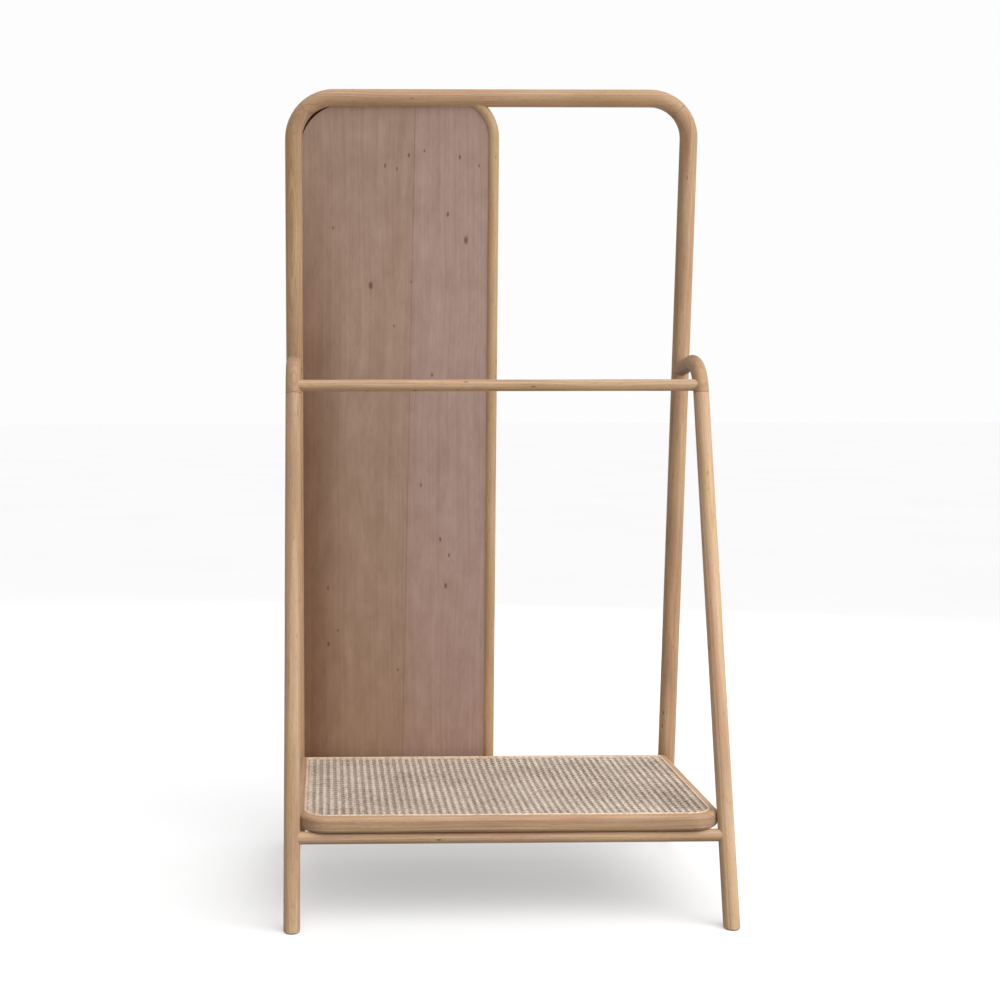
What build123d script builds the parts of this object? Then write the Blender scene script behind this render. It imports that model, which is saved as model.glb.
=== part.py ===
from build123d import *
import math
import os

# Free-standing clothes rack with a dressing mirror and a cane shelf, all in teak.
# A tall hoop leans one way, a lower pair of legs leans against it, and a cane tray is
# screwed down on a rail at the front and a ledger at the back. Nothing on it moves.
# Millimetres. X to the right, Y from the hanging side to the mirror side, Z up.
# The origin is on the floor, in the middle of the footprint.

# Overall sizes
hoop_height = 1524.0
base_depth = 560.0
post_spacing = 768.0
hoop_lean = 9.04
leg_lean = 12.4

# Round sections
post_diameter = 34.0
leg_diameter = 29.0
rod_diameter = 22.0
stile_diameter = 22.0
bottom_rail_diameter = 28.0
post_radius = post_diameter / 2
leg_radius = leg_diameter / 2
rod_radius = rod_diameter / 2
stile_radius = stile_diameter / 2
bottom_rail_radius = bottom_rail_diameter / 2
half_spacing = post_spacing / 2

# Hoop and mirror frame, measured in the hoop's own leaning plane
hoop_corner_radius = 78.0
stile_corner_radius = 76.0
stile_foot_x = 14.0
stile_tilt = 0.42
bottom_rail_height = 116.0
groove_depth = 5.5
groove_width = 10.4
board_thickness = 6.0
glass_thickness = 4.0
sheet_hold = 5.0
board_corner_radius = 87.0
glass_corner_radius = 70.0
groove_corner_radius = 66.0
stile_side_corner_radius = 62.0

# Elbows, from the seam on top of each leg to the near face of the post
seam_height = 936.0
elbow_radius = 68.0
elbow_straight = 6.0
elbow_drop_angle = 7.0

# Rails between the legs
hanging_rod_height = 951.0
lower_rail_height = 153.5
tenon_diameter = 12.0
rod_tenon_depth = 8.0
rail_tenon_depth = 14.0

# Ledger behind the shelf
ledger_depth = 46.0
ledger_height = 22.0
ledger_overhang = 8.0
ledger_housing = 5.5
ledger_edge = 4.0

# Fasteners and pegs
seam_dowel_diameter = 10.0
seam_dowel_length = 56.0
corner_dowel_diameter = 10.0
corner_dowel_length = 46.0
stile_dowel_diameter = 8.0
bolt_diameter = 8.0
bolt_clearance = 0.6
bolt_head_diameter = 14.0
bolt_head_height = 7.0
bolt_reach = 24.0
hex_socket_size = 6.0
hex_socket_depth = 4.0
counterbore_diameter = 15.0
counterbore_depth = 9.0
insert_diameter = 12.0
insert_length = 20.0
screw_diameter = 5.0
screw_head_diameter = 10.0
screw_head_height = 3.0
screw_bury = 12.0

# Cane tray
tray_width = 754.0
tray_depth = 457.0
tray_front_inset = 32.0
tray_rail_width = 28.0
tray_rail_height = 28.0
tray_front_corner = 56.0
tray_back_corner = 14.0
tray_top_round = 7.0
tray_bottom_round = 8.0
tray_inner_round = 5.0
spline_inset = 14.0
spline_width = 4.0
spline_height = 5.2
spline_proud = 1.2
spline_groove_depth = 6.0
cane_thickness = 1.5
tray_board_thickness = 4.0
tray_board_drop = 14.0
tray_board_hold = 5.5
tray_board_groove = 6.0
tray_dowel_diameter = 6.0
tray_dowel_length = 24.0
tray_screw_diameter = 4.5
tray_screw_head = 9.0
tray_screw_head_height = 2.5
tray_screw_bury = 4.0
tray_screw_reach = 16.0
tray_screw_x = 250.0
ledger_screw_inset = 17.0

seam_chamfer = 0.5
foot_chamfer = 2.5
reach = 2000.0

# Places worked out from the sizes above
lean_cos = math.cos(math.radians(hoop_lean))
lean_tan = math.tan(math.radians(hoop_lean))
leg_cos = math.cos(math.radians(leg_lean))
leg_sin = math.sin(math.radians(leg_lean))
leg_tan = math.tan(math.radians(leg_lean))
hoop_foot_y = base_depth / 2 - post_radius / lean_cos
leg_foot_y = -base_depth / 2 + leg_radius / leg_cos
top_axis = (hoop_height - post_radius) / lean_cos
lower_rail_top = lower_rail_height + rod_radius
tray_bottom = lower_rail_top
tray_top = tray_bottom + tray_rail_height
tray_front = -base_depth / 2 + tray_front_inset
tray_back = tray_front + tray_depth

hoop_place = Pos(0, hoop_foot_y, 0) * Rot(hoop_lean, 0, 0)
leg_place = Pos(0, leg_foot_y, 0) * Rot(-leg_lean, 0, 0)


def along(start, end, radius):
    """A round bar from one point to another."""
    start, end = Vector(*start), Vector(*end)
    run = end - start
    return extrude(Plane(origin=start, z_dir=run) * Circle(radius), amount=run.length)


def swept(path, radius):
    """A round bar along a path of lines and arcs."""
    return sweep(Plane(origin=path @ 0, z_dir=path % 0) * Circle(radius), path=path)


def above_floor(shape):
    """The shape with everything below the floor sawn off."""
    return shape - Pos(0, 0, -reach / 2) * Box(reach, reach, reach)


def foot_rounded(shape):
    """The shape with the sharp edge of its sawn foot eased."""
    foot_face = shape.faces().sort_by(Axis.Z)[0]
    return chamfer(foot_face.outer_wire().edges(), foot_chamfer)


def stile_x(height):
    """X of the stile's centre line at a height in the hoop's plane."""
    return stile_foot_x - height * math.tan(math.radians(stile_tilt))


# ---- Tall hoop ---------------------------------------------------------------

def hoop_corner_centre(side):
    """Centre of the bend at one top corner, in the hoop's plane."""
    return (side * (half_spacing - hoop_corner_radius), 0, top_axis - hoop_corner_radius)


def hoop_corner_point(side, angle):
    """Point on the bend's centre line, at an angle up from the horizontal."""
    centre = hoop_corner_centre(side)
    return (
        centre[0] + side * hoop_corner_radius * math.cos(math.radians(angle)),
        0,
        centre[2] + hoop_corner_radius * math.sin(math.radians(angle)),
    )


def hoop_post_bar(side):
    """One upright of the hoop with its half of the corner bend."""
    bend_start = hoop_corner_point(side, 0)
    upright = Line((bend_start[0], 0, -post_diameter), bend_start)
    bend = ThreePointArc(bend_start, hoop_corner_point(side, 22.5), hoop_corner_point(side, 45))
    bar = swept(Wire([upright, bend]), post_radius)
    mitre = bar.faces().sort_by(Axis.Z)[-1]
    bar = chamfer(mitre.outer_wire().edges(), seam_chamfer)
    return bar


def top_rail_bar():
    """The hoop's top with its half of each corner bend."""
    left = ThreePointArc(
        hoop_corner_point(-1, 45), hoop_corner_point(-1, 67.5), hoop_corner_point(-1, 90)
    )
    straight = Line(hoop_corner_point(-1, 90), hoop_corner_point(1, 90))
    right = ThreePointArc(
        hoop_corner_point(1, 90), hoop_corner_point(1, 67.5), hoop_corner_point(1, 45)
    )
    bar = swept(Wire([left, straight, right]), post_radius)
    ends = bar.faces().sort_by(Axis.Z)[:2]
    return chamfer([edge for end in ends for edge in end.outer_wire().edges()], seam_chamfer)


def bottom_rail_bar():
    """Plain round bar from post centre to post centre."""
    return along(
        (-half_spacing, 0, bottom_rail_height), (half_spacing, 0, bottom_rail_height),
        bottom_rail_radius,
    )


def stile_bar():
    """The mirror's inner upright, bent over into the top rail."""
    bend_height = top_axis - stile_corner_radius
    bend_start = (stile_x(bend_height), 0, bend_height)
    centre_x = bend_start[0] - stile_corner_radius
    mid_angle = math.radians((90 + stile_tilt) / 2 + stile_tilt / 2)
    mid = (
        centre_x + stile_corner_radius * math.cos(mid_angle),
        0,
        bend_height + stile_corner_radius * math.sin(mid_angle),
    )
    upright = Line((stile_foot_x, 0, 0), bend_start)
    bend = ThreePointArc(bend_start, mid, (centre_x, 0, top_axis))
    return swept(Wire([upright, bend]), stile_radius)


def sheet_outline(hold, corner_radius):
    """Outline of a sheet in the mirror frame, held by its edges in the grooves."""
    left = -half_spacing + post_radius - hold
    low = bottom_rail_height + bottom_rail_radius - hold
    high = top_axis - post_radius + hold
    right_offset = hold - stile_radius
    outline = Polyline(
        (left, low), (stile_x(low) + right_offset, low),
        (stile_x(high) + right_offset, high), (left, high), close=True,
    )
    face = make_face(outline)
    top_left = face.vertices().group_by(Axis.Y)[-1].sort_by(Axis.X)[0]
    face = fillet(top_left, corner_radius)
    top_right = face.vertices().group_by(Axis.X)[-2:]
    top_right = max((v for group in top_right for v in group), key=lambda v: v.Y)
    return fillet(top_right, stile_side_corner_radius)


def sheet(hold, corner_radius, near, far):
    """A flat sheet upright in the hoop's plane, between two depths."""
    face = Plane.XZ.offset(-near) * sheet_outline(hold, corner_radius)
    return extrude(face, amount=far - near, dir=(0, 1, 0))


def sheet_groove():
    """The groove all round the mirror frame that holds the board and the glass."""
    return sheet(groove_depth, groove_corner_radius, -groove_width / 2, groove_width / 2)


def backing_board():
    """Plywood back of the mirror, on the hanging side."""
    near = glass_thickness - board_thickness / 2 - board_thickness
    return sheet(sheet_hold, board_corner_radius, near, near + board_thickness)


def mirror_glass():
    """Silvered glass behind the board, facing the far side."""
    near = glass_thickness - board_thickness / 2
    return sheet(sheet_hold, glass_corner_radius, near, near + glass_thickness)


def corner_dowels(extra=0.0):
    """One peg across each mitred corner, along the bend's tangent."""
    pegs = []
    for side in (-1, 1):
        middle = Vector(*hoop_corner_point(side, 45))
        run = Vector(-side, 0, 1).normalized() * (corner_dowel_length / 2 + extra)
        pegs.append(along(middle - run, middle + run, corner_dowel_diameter / 2))
    return pegs


def stile_dowels():
    """A peg from the stile's foot into the bottom rail, and one into the top rail."""
    foot_low = bottom_rail_height - 2.0
    foot_high = foot_low + 38.0
    foot = along((stile_x(foot_low), 0, foot_low), (stile_x(foot_high), 0, foot_high),
                 stile_dowel_diameter / 2)
    peg_x = stile_x(top_axis) - 27.0
    peg_low = top_axis - 21.5
    peg_high = top_axis + 4.0
    head = along((peg_x, 0, peg_low), (peg_x, 0, peg_high), stile_dowel_diameter / 2)
    return [foot, head]


def bottom_rail_tenons():
    """The round tenons on the bottom rail's ends."""
    return [
        along((side * (half_spacing - 4.0), 0, bottom_rail_height),
              (side * (half_spacing - post_radius - 2.0), 0, bottom_rail_height),
              tenon_diameter / 2)
        for side in (-1, 1)
    ]


# ---- Leg frame ---------------------------------------------------------------

def leg_axis_y(height):
    """Y of the leg's centre line at a height above the floor."""
    return leg_foot_y + height * leg_tan


def leg_bar(side):
    """One straight leg, from below the floor to the seam under its elbow."""
    x = side * half_spacing
    low = -leg_diameter
    bar = along((x, leg_axis_y(low), low), (x, leg_axis_y(seam_height), seam_height), leg_radius)
    seam = bar.faces().sort_by(Axis.Z)[-1]
    return chamfer(seam.outer_wire().edges(), seam_chamfer)


def elbow_points():
    """Seam, start, middle and end of the bend, and the end on the post's axis, as (y, z)."""
    seam = (leg_axis_y(seam_height), seam_height)
    start = (seam[0] + elbow_straight * leg_sin, seam[1] + elbow_straight * leg_cos)
    centre = (start[0] + elbow_radius * leg_cos, start[1] - elbow_radius * leg_sin)

    def on_bend(angle):
        turn = math.radians(angle)
        return (centre[0] - elbow_radius * math.cos(turn), centre[1] + elbow_radius * math.sin(turn))

    middle = on_bend((leg_lean + 90 + elbow_drop_angle) / 2)
    end = on_bend(90 + elbow_drop_angle)
    drop = math.tan(math.radians(elbow_drop_angle))
    run = (hoop_foot_y - lean_tan * end[1] - end[0]) / (1 - lean_tan * drop)
    far = (end[0] + run, end[1] - run * drop)
    return seam, start, middle, end, far


def elbow_bar(side):
    """The bent piece from the leg's seam to the centre line of the post."""
    x = side * half_spacing
    seam, start, middle, end, far = [(x, y, z) for y, z in elbow_points()]
    path = Wire([Line(seam, start), ThreePointArc(start, middle, end), Line(end, far)])
    bar = swept(path, leg_radius)
    base = bar.faces().sort_by(Axis.Z)[0]
    return chamfer(base.outer_wire().edges(), seam_chamfer)


def elbow_dowels():
    """A peg across each seam between leg and elbow."""
    seam_y = leg_axis_y(seam_height)
    half = seam_dowel_length / 2
    return [
        along((side * half_spacing, seam_y - half * leg_sin, seam_height - half * leg_cos),
              (side * half_spacing, seam_y + half * leg_sin, seam_height + half * leg_cos),
              seam_dowel_diameter / 2)
        for side in (-1, 1)
    ]


def bolt_line(side):
    """Where a bolt's line meets the post's near and far faces, and its direction."""
    x = side * half_spacing
    far = elbow_points()[-1]
    drop = math.radians(elbow_drop_angle)
    direction = Vector(0, math.cos(drop), -math.sin(drop))
    half_chord = post_radius / math.cos(math.radians(elbow_drop_angle + hoop_lean))
    middle = Vector(x, far[0], far[1])
    return middle - direction * half_chord, middle + direction * half_chord, direction


def elbow_bolt(side):
    """Hex-socket bolt through the post into the elbow's end."""
    near, far, direction = bolt_line(side)
    seat = far - direction * counterbore_depth
    tip = near - direction * bolt_reach
    shank = along(tip, seat, bolt_diameter / 2)
    head = along(seat, seat + direction * bolt_head_height, bolt_head_diameter / 2)
    socket_plane = Plane(origin=seat + direction * bolt_head_height, z_dir=direction)
    hexagon = socket_plane * RegularPolygon(hex_socket_size / 2, 6, major_radius=False)
    socket = extrude(hexagon, amount=-hex_socket_depth)
    return shank + head - socket


def elbow_insert(side):
    """Threaded sleeve in the elbow's end."""
    near, _, direction = bolt_line(side)
    start = near - direction * (insert_length + 2.0)
    end = near - direction * 2.0
    return along(start, end, insert_diameter / 2) - along(start, end, bolt_diameter / 2)


def bolt_way(side):
    """Clearance hole and counterbore for a bolt."""
    near, far, direction = bolt_line(side)
    hole = along(near - direction * (bolt_reach + 1.0), far, (bolt_diameter + bolt_clearance) / 2)
    seat = far - direction * counterbore_depth
    return hole + along(seat, far + direction * counterbore_depth, counterbore_diameter / 2)


def insert_way(side):
    """Bore for the threaded sleeve."""
    near, _, direction = bolt_line(side)
    return along(near - direction * (insert_length + 2.0), near + direction, insert_diameter / 2)


def rung(height, depth):
    """A round rail between the legs: its full bar and the two tenons on its ends."""
    y = leg_axis_y(height)
    bar = along((-half_spacing, y, height), (half_spacing, y, height), rod_radius)
    outer = half_spacing - leg_radius + depth
    inner = half_spacing - leg_radius - 2.0
    tenons = [
        along((side * inner, y, height), (side * outer, y, height), tenon_diameter / 2)
        for side in (-1, 1)
    ]
    return bar, tenons


# ---- Ledger ------------------------------------------------------------------

def ledger():
    """Flat batten let into the near faces of the two posts."""
    post_face = hoop_foot_y - lower_rail_top * lean_tan - post_radius / lean_cos
    back = post_face + ledger_housing
    length = post_spacing + 2 * ledger_overhang
    batten = Box(length, ledger_depth, ledger_height)
    batten = Pos(0, back - ledger_depth / 2, lower_rail_top - ledger_height / 2) * batten
    front_long = batten.edges().filter_by(Axis.X).group_by(Axis.Y)[0]
    batten = fillet(front_long, ledger_edge)
    return batten


def screw_spots():
    """Ledger screws: X, Z, and Y of the ledger's near face and of the post's far face."""
    z = lower_rail_top - ledger_height / 2
    post_y = hoop_foot_y - z * lean_tan
    near = hoop_foot_y - lower_rail_top * lean_tan - post_radius / lean_cos
    near = near + ledger_housing - ledger_depth
    return [(side * half_spacing, z, near, post_y + post_radius / lean_cos) for side in (-1, 1)]


def ledger_screw(x, z, near, far, ease=0.0):
    """Wood screw from the far side of the post into the ledger."""
    seat = far - screw_bury
    shank = along((x, near + 5.0, z), (x, seat, z), screw_diameter / 2)
    head = along((x, seat, z), (x, seat + screw_head_height, z), screw_head_diameter / 2)
    return shank + head


def screw_plug(x, z, far):
    """Teak plug over a screw's head, before it is trimmed to the post."""
    seat = far - screw_bury + screw_head_height
    return along((x, seat, z), (x, far + screw_bury, z), screw_head_diameter / 2)


# ---- Cane tray ---------------------------------------------------------------

def tray_outline(inset):
    """The tray's outline in plan, inset from its outer edge."""
    half = tray_width / 2 - inset
    middle_y = (tray_front + tray_back) / 2
    face = Pos(0, middle_y) * Rectangle(2 * half, tray_depth - 2 * inset)
    front = face.vertices().group_by(Axis.Y)[0]
    face = fillet(front, max(tray_front_corner - inset, tray_inner_round))
    back = face.vertices().group_by(Axis.Y)[-1]
    return fillet(back, max(tray_back_corner - inset, tray_inner_round))


def tray_slab(inset, low, high):
    """A slab with the tray's outline, between two heights."""
    return extrude(Pos(0, 0, low) * tray_outline(inset), amount=high - low)


def tray_frame():
    """The whole tray frame in one, rounded, grooved and rebated for the cane."""
    slab = tray_slab(0, tray_bottom, tray_top)
    slab = fillet(slab.edges().group_by(Axis.Z)[0], tray_bottom_round)
    slab = fillet(slab.edges().group_by(Axis.Z)[-1], tray_top_round)
    frame = slab - tray_slab(tray_rail_width, tray_bottom - 1.0, tray_top + 1.0)
    groove = tray_slab(spline_inset, tray_top - spline_groove_depth, tray_top + 1.0)
    groove -= tray_slab(spline_inset + spline_width, tray_top - 10.0, tray_top + 2.0)
    rebate = tray_slab(spline_inset + spline_width, tray_top - cane_thickness, tray_top + 1.0)
    return frame - groove - rebate - tray_board(tray_board_groove)


def tray_board(hold):
    """The plywood board under the cane, held by its edges in grooves in the rails."""
    top = tray_top - tray_board_drop
    return tray_slab(tray_rail_width - hold, top - tray_board_thickness, top)


def mitre_wedge(side):
    """A prism over one side of the tray, bounded by the mitre lines at its two corners."""
    half = tray_width / 2
    middle_y = (tray_front + tray_back) / 2
    hub = tray_depth / 2
    far = tray_width
    corners = {
        "front": [(-half + hub, middle_y), (half - hub, middle_y),
                  (half - hub + far, middle_y - far), (-half + hub - far, middle_y - far)],
        "back": [(-half + hub, middle_y), (half - hub, middle_y),
                 (half - hub + far, middle_y + far), (-half + hub - far, middle_y + far)],
        "left": [(-half + hub, middle_y), (-half + hub - far, middle_y - far),
                 (-half + hub - far, middle_y + far)],
        "right": [(half - hub, middle_y), (half - hub + far, middle_y - far),
                  (half - hub + far, middle_y + far)],
    }
    face = make_face(Polyline(*corners[side], close=True))
    return extrude(Pos(0, 0, tray_bottom - 5.0) * face, amount=tray_rail_height + 10.0)


def tray_dowels():
    """One peg across each mitred corner of the tray."""
    pegs = []
    z = tray_bottom + tray_rail_height * 0.4
    for side in (-1, 1):
        for end, radius in ((-1, tray_front_corner), (1, tray_back_corner)):
            edge_y = tray_front if end < 0 else tray_back
            outer = radius * (1 - math.sqrt(0.5))
            inner_radius = max(radius - tray_rail_width, tray_inner_round)
            inner = tray_rail_width + inner_radius * (1 - math.sqrt(0.5))
            inset = (outer + inner) / 2
            middle = Vector(side * (tray_width / 2 - inset), edge_y - end * inset, z)
            run = Vector(side, -end, 0).normalized() * (tray_dowel_length / 2)
            pegs.append(along(middle - run, middle + run, tray_dowel_diameter / 2))
    return pegs


def tray_screw_spots():
    """Centre lines and head heights of the screws that hold the tray down, as (x, y, z)."""
    rail_seat = lower_rail_height - rod_radius + tray_screw_bury
    ledger_seat = lower_rail_top - ledger_height + tray_screw_bury
    ledger_y = tray_back - ledger_screw_inset
    return [
        (side * tray_screw_x, y, seat)
        for y, seat in ((leg_axis_y(lower_rail_height), rail_seat), (ledger_y, ledger_seat))
        for side in (-1, 1)
    ]


def tray_screw(x, y, seat):
    """Wood screw from below into the tray's rail."""
    shank = along((x, y, seat), (x, y, tray_bottom + tray_screw_reach), tray_screw_diameter / 2)
    head = along((x, y, seat - tray_screw_head_height), (x, y, seat), tray_screw_head / 2)
    return shank + head


def tray_screw_way(x, y, seat):
    """The hole for one of those screws, open at the bottom."""
    mouth = along((x, y, seat - ledger_height), (x, y, seat), tray_screw_head / 2)
    return tray_screw(x, y, seat) + mouth


def cane_sheet():
    """The stretched cane, flat, filling the rebate."""
    return tray_slab(spline_inset + spline_width, tray_top - cane_thickness, tray_top)


def cane_spline():
    """The reed pressed into the groove round the cane, before it is cut in two."""
    low = tray_top + spline_proud - spline_height
    high = tray_top + spline_proud
    ring = tray_slab(spline_inset, low, high)
    ring -= tray_slab(spline_inset + spline_width, low - 1.0, high + 1.0)
    top_rims = ring.edges().group_by(Axis.Z)[-1]
    return fillet(top_rims, spline_width * 0.3)


def write(name, shape):
    """Write one node's STEP file."""
    solids = shape if isinstance(shape, list) else list(shape.solids())
    body = solids[0] if len(solids) == 1 else Compound(children=solids)
    body.label = name
    export_step(body, f"parts/{name}.step")


def build_hoop():
    """The leaning hoop, the mirror in its left half, and the ledger across it."""
    groove = sheet_groove()
    pegs = corner_dowels()
    tenons = bottom_rail_tenons()
    feet = stile_dowels()
    rail = top_rail_bar()
    ledger_bar = ledger()
    spots = screw_spots()
    for side, name, spot in ((-1, "left", spots[0]), (1, "right", spots[1])):
        post = hoop_post_bar(side) - pegs[0] - pegs[1] - tenons[0] - tenons[1]
        if side < 0:
            post -= groove
        post = foot_rounded(above_floor(hoop_place * post))
        plug = screw_plug(spot[0], spot[1], spot[3]) & (hoop_place * hoop_post_bar(side))
        post = post - ledger_bar - bolt_way(side) - ledger_screw(*spot) - plug
        write(f"tall_post_{name}", post)
    top = rail - groove - pegs[0] - pegs[1] - feet[1]
    write("top_rail", hoop_place * top)
    bottom = bottom_rail_bar() - hoop_post_bar(-1) - hoop_post_bar(1)
    bottom = bottom + tenons[0] + tenons[1] - groove - feet[0]
    write("bottom_rail", hoop_place * bottom)
    stile = stile_bar() - rail - bottom_rail_bar() - feet[0] - feet[1] - groove
    stile = max(stile.solids(), key=lambda solid: solid.volume)
    write("mirror_stile", hoop_place * stile)
    write("corner_dowels", [hoop_place * peg for peg in pegs])
    write("stile_dowels", [hoop_place * peg for peg in feet])
    write("mirror_back_board", hoop_place * backing_board())
    write("mirror_glass", hoop_place * mirror_glass())
    ledger_cut = ledger_bar
    for spot in spots:
        ledger_cut = ledger_cut - ledger_screw(*spot)
    for spot in tray_screw_spots()[2:]:
        ledger_cut = ledger_cut - tray_screw_way(*spot)
    write("shelf_ledger", ledger_cut)
    write("ledger_screws", [ledger_screw(*spot) for spot in spots])
    plugs = [
        screw_plug(spot[0], spot[1], spot[3]) & (hoop_place * hoop_post_bar(side))
        for side, spot in zip((-1, 1), spots)
    ]
    write("screw_plugs", plugs)


def build_leg_frame():
    """The two legs with their elbows, the hanging rod and the lower rail."""
    rod, rod_tenons = rung(hanging_rod_height, rod_tenon_depth)
    rail, rail_tenons = rung(lower_rail_height, rail_tenon_depth)
    pegs = elbow_dowels()
    elbows = {}
    legs = {}
    for side in (-1, 1):
        legs[side] = leg_bar(side)
        elbows[side] = elbow_bar(side) - hoop_place * hoop_post_bar(side)
    for side, name, index in ((-1, "left", 0), (1, "right", 1)):
        leg = foot_rounded(above_floor(legs[side])) - pegs[index] - rail_tenons[index]
        write(f"leg_{name}", leg)
        elbow = elbows[side] - pegs[index] - rod_tenons[index]
        elbow = elbow - insert_way(side) - bolt_way(side)
        write(f"elbow_{name}", elbow)
    write("elbow_dowels", pegs)
    write("elbow_bolts", [elbow_bolt(side) for side in (-1, 1)])
    write("elbow_inserts", [elbow_insert(side) for side in (-1, 1)])
    hanging = rod - elbows[-1] - elbows[1] - legs[-1] - legs[1] + rod_tenons[0] + rod_tenons[1]
    write("hanging_rod", hanging)
    lower = rail - legs[-1] - legs[1] + rail_tenons[0] + rail_tenons[1]
    for spot in tray_screw_spots()[:2]:
        lower = lower - tray_screw_way(*spot)
    write("lower_rail", lower)


def build_tray():
    """The cane tray and the screws that hold it down."""
    frame = tray_frame()
    for spot in tray_screw_spots():
        frame = frame - tray_screw(*spot)
    pegs = tray_dowels()
    for side in ("front", "back", "left", "right"):
        rail = frame & mitre_wedge(side)
        for peg in pegs:
            rail = rail - peg
        write(f"tray_{side}_rail", rail)
    write("tray_dowels", pegs)
    write("tray_screws", [tray_screw(*spot) for spot in tray_screw_spots()])
    write("tray_board", tray_board(tray_board_hold))
    write("cane_sheet", cane_sheet())
    spline = cane_spline()
    back = mitre_wedge("back")
    write("cane_spline_back", spline & back)
    write("cane_spline_front", spline - back)


os.makedirs("parts", exist_ok=True)
build_hoop()
build_leg_frame()
build_tray()
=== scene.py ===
import math

import bpy
import numpy as np
from mathutils import Euler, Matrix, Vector


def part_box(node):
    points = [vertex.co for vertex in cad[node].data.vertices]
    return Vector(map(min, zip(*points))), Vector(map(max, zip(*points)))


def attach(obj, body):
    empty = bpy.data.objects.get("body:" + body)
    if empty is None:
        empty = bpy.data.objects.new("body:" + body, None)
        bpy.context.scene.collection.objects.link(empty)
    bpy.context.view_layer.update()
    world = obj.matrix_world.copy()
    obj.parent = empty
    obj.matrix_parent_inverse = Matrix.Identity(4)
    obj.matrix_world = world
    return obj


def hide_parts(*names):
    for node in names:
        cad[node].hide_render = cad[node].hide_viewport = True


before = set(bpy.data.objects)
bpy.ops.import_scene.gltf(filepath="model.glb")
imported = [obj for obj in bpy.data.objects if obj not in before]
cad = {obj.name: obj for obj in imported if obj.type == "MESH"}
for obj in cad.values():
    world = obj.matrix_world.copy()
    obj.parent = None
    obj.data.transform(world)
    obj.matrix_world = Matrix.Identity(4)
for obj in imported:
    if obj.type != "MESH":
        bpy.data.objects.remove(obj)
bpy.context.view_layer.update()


# ---- Camera, floor and light ------------------------------------------------
# A long normal lens at the height of the hanging rod, a little left of the rack,
# looking straight at the hanging side. The lens is shifted, not tilted, so uprights stay upright.

camera_place = Vector((-0.3263, -2.864, 0.9224))
camera_yaw = math.radians(-1.0935)
camera_roll = math.radians(0.098)
camera_data = bpy.data.cameras.new("studio_camera")
camera_data.sensor_width = 36.0
camera_data.lens = 53.85
camera_data.shift_x = 0.1474
camera_data.shift_y = -0.0992
camera_data.clip_end = 60.0
camera = bpy.data.objects.new("studio_camera", camera_data)
camera.location = camera_place
camera.rotation_euler = Euler((math.radians(90.0), camera_roll, camera_yaw))
bpy.context.scene.collection.objects.link(camera)
bpy.context.scene.camera = camera
bpy.context.scene.view_settings.view_transform = "Standard"


def linear(hex_code):
    """An sRGB hex colour as linear light with full alpha: each channel is undone from its
    display curve, a straight line near black and a power of 2.4 above it."""
    channels = [int(hex_code[i:i + 2], 16) / 255 for i in (1, 3, 5)]
    return tuple(
        c / 12.92 if c <= 0.04045 else ((c + 0.055) / 1.055) ** 2.4 for c in channels
    ) + (1.0,)


def add(tree, kind, inputs=None, stops=None, **settings):
    """Adds one shader node: settings are its own, inputs are values or sockets to link,
    and stops are the colours of a ramp. Gives back its outputs."""
    made = tree.nodes.new(kind)
    for name, value in settings.items():
        setattr(made, name, value)
    for name, value in (inputs or {}).items():
        socket = made.inputs[name]
        if isinstance(value, bpy.types.NodeSocket):
            tree.links.new(value, socket)
        else:
            socket.default_value = value
    if stops:
        ramp = made.color_ramp.elements
        while len(ramp) < len(stops):
            ramp.new(0.5)
        for element, (place, hex_code) in zip(ramp, stops):
            element.position = place
            element.color = linear(hex_code)
    return made.outputs


def new_material(name):
    """An empty node material and its tree."""
    material = bpy.data.materials.new(name)
    material.use_nodes = True
    material.node_tree.nodes.clear()
    return material, material.node_tree


def mesh_piece(name, points, faces, material, smooth=True):
    """A piece at the origin from an array of points and a list or array of faces."""
    mesh = bpy.data.meshes.new(name)
    mesh.from_pydata(np.asarray(points, float).tolist(), [], np.asarray(faces).tolist())
    mesh.polygons.foreach_set("use_smooth", np.full(len(mesh.polygons), smooth))
    mesh.update()
    mesh.materials.append(material)
    piece = bpy.data.objects.new(name, mesh)
    bpy.context.scene.collection.objects.link(piece)
    return piece


def white_share(tree):
    """How white the studio looks to a ray: all to a direct one, in part to a mirrored one,
    and not at all to light on its way back to the rack."""
    mirrored_share = 0.6
    paths = add(tree, "ShaderNodeLightPath")
    mirrored = add(tree, "ShaderNodeMath", {0: paths["Is Glossy Ray"], 1: mirrored_share},
                   operation="MULTIPLY")[0]
    return add(tree, "ShaderNodeMath", {0: paths["Is Camera Ray"], 1: mirrored},
               operation="MAXIMUM")[0]


# the floor and the air around it look white, while the light they throw back on the rack is dim
floor_paint, tree = new_material("matt_studio_paint")
coords = add(tree, "ShaderNodeTexCoord")["Object"]
mottle = add(tree, "ShaderNodeTexNoise", {"Vector": coords, "Scale": 0.8, "Detail": 1.0})["Fac"]
paint_colour = add(tree, "ShaderNodeValToRGB", {"Fac": mottle},
                   stops=[(0.3, "#fdfdfd"), (0.7, "#ffffff")])["Color"]
lit = add(tree, "ShaderNodeBsdfDiffuse", {"Color": paint_colour})[0]
glow = add(tree, "ShaderNodeEmission", {"Color": paint_colour, "Strength": 0.97})[0]
seen = add(tree, "ShaderNodeMixShader", {0: 0.45, 1: lit, 2: glow})[0]
bounced = add(tree, "ShaderNodeBsdfDiffuse", {"Color": linear("#9a958f")})[0]
direct = white_share(tree)
paint = add(tree, "ShaderNodeMixShader", {0: direct, 1: bounced, 2: seen})[0]
add(tree, "ShaderNodeOutputMaterial", {"Surface": paint})
floor_half = 60.0
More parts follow.
